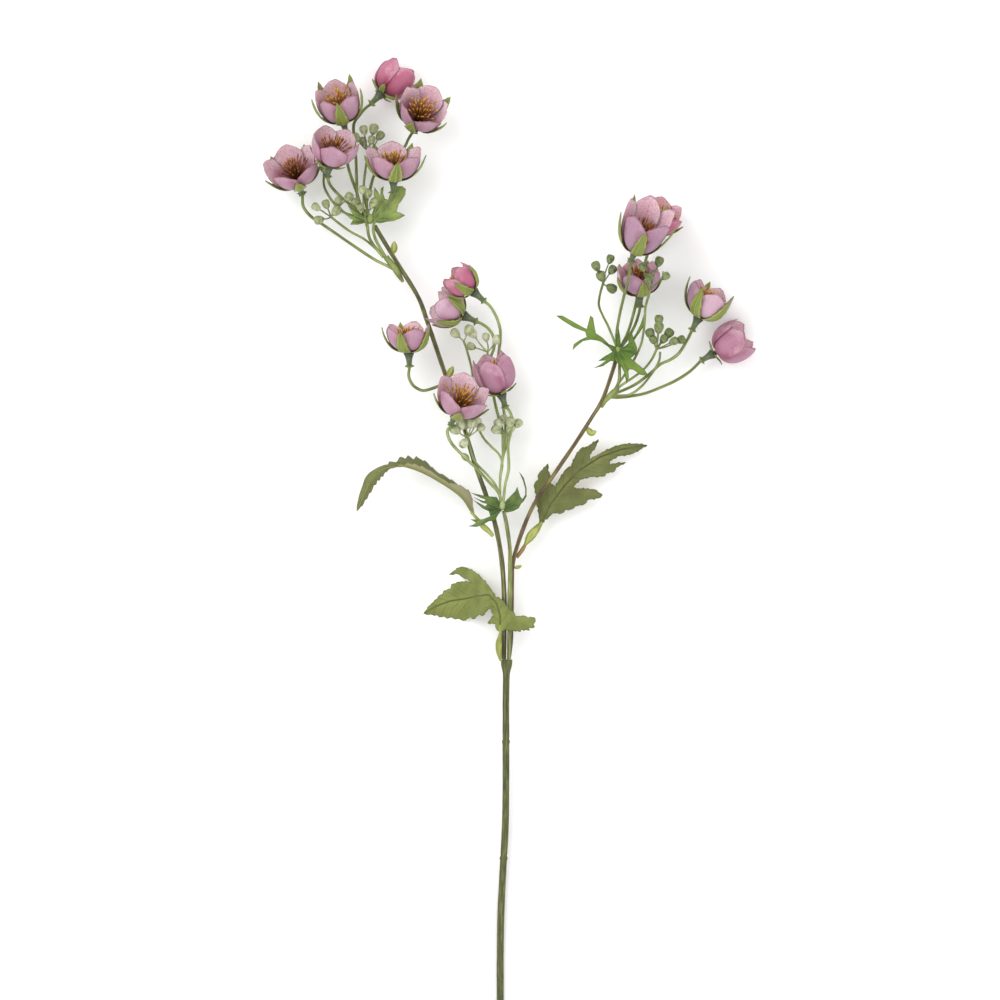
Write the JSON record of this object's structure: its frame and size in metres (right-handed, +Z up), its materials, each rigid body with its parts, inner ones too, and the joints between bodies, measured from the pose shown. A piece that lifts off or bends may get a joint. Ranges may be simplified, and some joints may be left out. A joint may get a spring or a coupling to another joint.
{
  "type": "artificial ranunculus spray",
  "caption": "Branching flower spray: long cut stem, small cupped blooms with green sepals and stamens, bud groups, cut bracts and large toothed leaves, lying flat.",
  "frame": {"origin": "middle of the spray's length and width, on the surface that it lies on", "axes": "+Y from the cut end of the stem towards the blooms, +X across the spray to the right as seen from above, +Z up from the surface"},
  "size_m": [0.3428, 0.6614, 0.0867],
  "materials": {
    "stem": "matte",
    "branch": "matte",
    "spray": "matte",
    "leaf": "matte",
    "petal": "matte",
    "sepal": "matte",
    "stamen": "matte"
  },
  "bodies": {
    "root": {"main_stem": "stem", "branch_left": "branch", "branch_middle": "branch", "branch_right": "branch", "spray_left": "spray", "spray_middle": "spray", "spray_right": "spray", "side_stalk": "spray", "leaf_right": "leaf", "leaf_left": "leaf", "leaf_lower": "leaf", "bloom_a1_petals": "petal", "bloom_a1_sepals": "sepal", "bloom_a1_stamens": "stamen", "bloom_a2_petals": "petal", "bloom_a2_sepals": "sepal", "bloom_a2_stamens": "stamen", "bloom_a3_petals": "petal", "bloom_a3_sepals": "sepal", "bloom_a3_stamens": "stamen", "bloom_a4_petals": "petal", "bloom_a4_sepals": "sepal", "bloom_a4_stamens": "stamen", "bloom_a5_petals": "petal", "bloom_a5_sepals": "sepal", "bloom_a5_stamens": "stamen", "bloom_a6_petals": "petal", "bloom_a6_sepals": "sepal", "bloom_a6_stamens": "stamen", "bloom_b1_petals": "petal", "bloom_b1_sepals": "sepal", "bloom_b1_stamens": "stamen", "bloom_b2_petals": "petal", "bloom_b2_sepals": "sepal", "bloom_b2_stamens": "stamen", "bloom_b3_petals": "petal", "bloom_b3_sepals": "sepal", "bloom_b3_stamens": "stamen", "bloom_b4_petals": "petal", "bloom_b4_sepals": "sepal", "bloom_b4_stamens": "stamen", "bloom_b5_petals": "petal", "bloom_b5_sepals": "sepal", "bloom_b5_stamens": "stamen", "bloom_c1_petals": "petal", "bloom_c1_sepals": "sepal", "bloom_c1_stamens": "stamen", "bloom_c2_petals": "petal", "bloom_c2_sepals": "sepal", "bloom_c2_stamens": "stamen", "bloom_c3_petals": "petal", "bloom_c3_sepals": "sepal", "bloom_c3_stamens": "stamen", "bloom_c4_petals": "petal", "bloom_c4_sepals": "sepal", "bloom_c4_stamens": "stamen", "bloom_c5_petals": "petal", "bloom_c5_sepals": "sepal", "bloom_c5_stamens": "stamen"}
  },
  "joints": []
}
